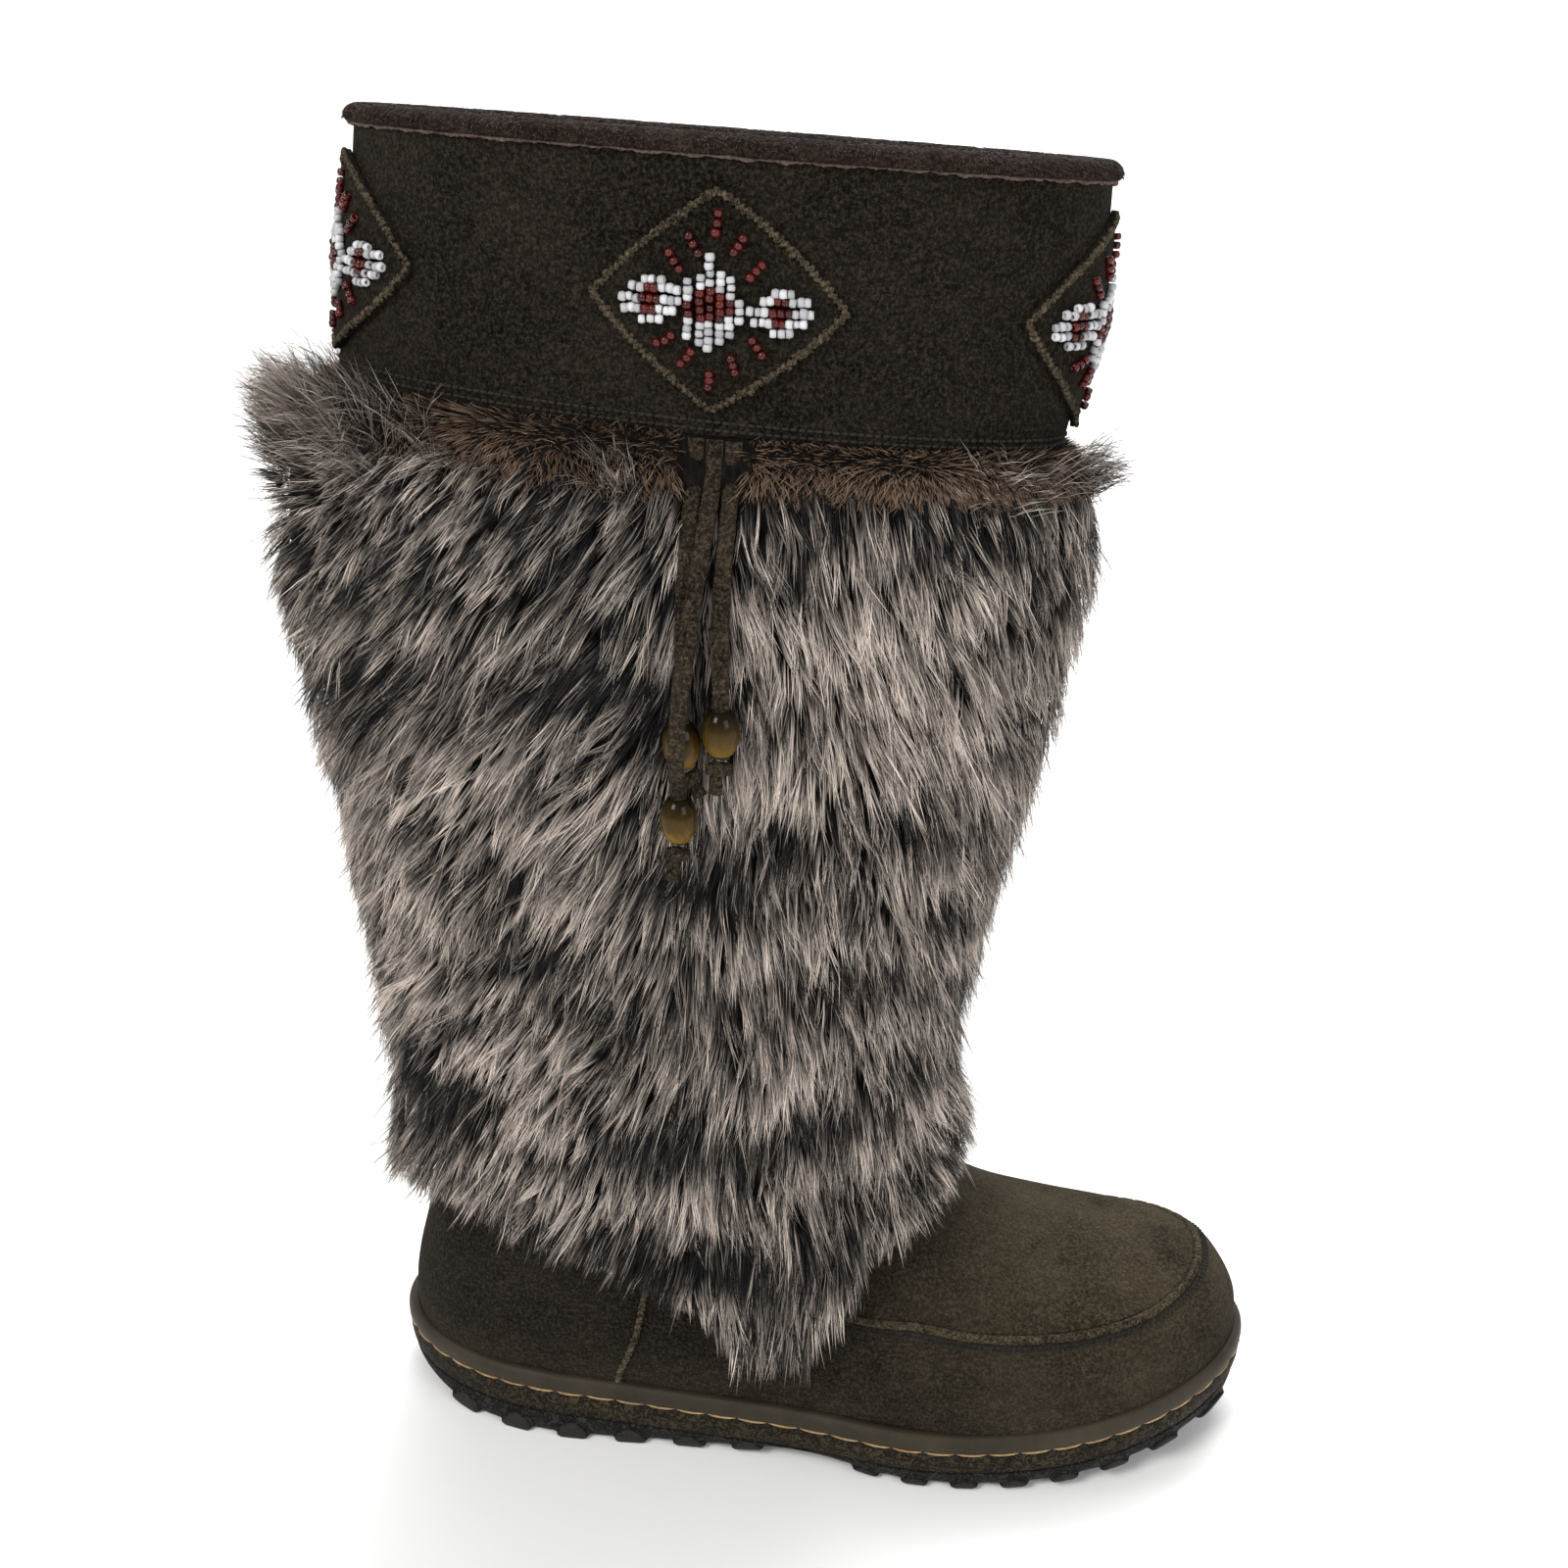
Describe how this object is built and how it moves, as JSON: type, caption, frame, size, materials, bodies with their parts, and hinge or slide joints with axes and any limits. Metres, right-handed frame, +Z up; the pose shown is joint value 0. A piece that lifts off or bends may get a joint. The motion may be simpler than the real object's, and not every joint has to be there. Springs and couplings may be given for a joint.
{
  "type": "snow_boot",
  "caption": "Tall right snow boot with a moccasin-toe suede foot on a lugged crepe sole, a shaft of long grey faux fur, a suede cuff with beaded diamond patches, and hanging suede thongs with olive beads",
  "frame": {"origin": "on the floor plane, at the middle of the heel lug that stands 64 mm in front of the heel's back edge", "axes": "+X towards the toe, +Y to the inner side of the right foot, +Z up along the shaft"},
  "size_m": [0.3064, 0.1325, 0.4027],
  "materials": {
    "outsole_rubber": "matt, pitted crepe texture",
    "midsole_crepe": "matt, pitted crepe texture",
    "welt_rand": "smooth, half matt",
    "lining": "short pile, matt",
    "suede": "brushed suede nap, matt",
    "binding": "fuzzy, matt",
    "seed_beads": "glossy",
    "faux_fur": "long soft pile with pale tips",
    "olive_bead": "polished"
  },
  "bodies": {
    "root": {"outsole": "outsole_rubber", "midsole": "midsole_crepe", "welt": "welt_rand", "insole": "lining", "upper": "suede", "collar_binding": "binding", "patch_front": "suede", "patch_outer": "suede", "patch_back": "suede", "patch_inner": "suede", "beadwork_front": "seed_beads", "beadwork_outer": "seed_beads", "beadwork_back": "seed_beads", "beadwork_inner": "seed_beads", "fur_shaft": "faux_fur", "thong_left": "suede", "thong_middle": "suede", "thong_right": "suede", "thong_bead_left": "olive_bead", "thong_bead_middle": "olive_bead", "thong_bead_right": "olive_bead", "thong_knot_left": "suede", "thong_knot_middle": "suede", "thong_knot_right": "suede"}
  },
  "joints": []
}
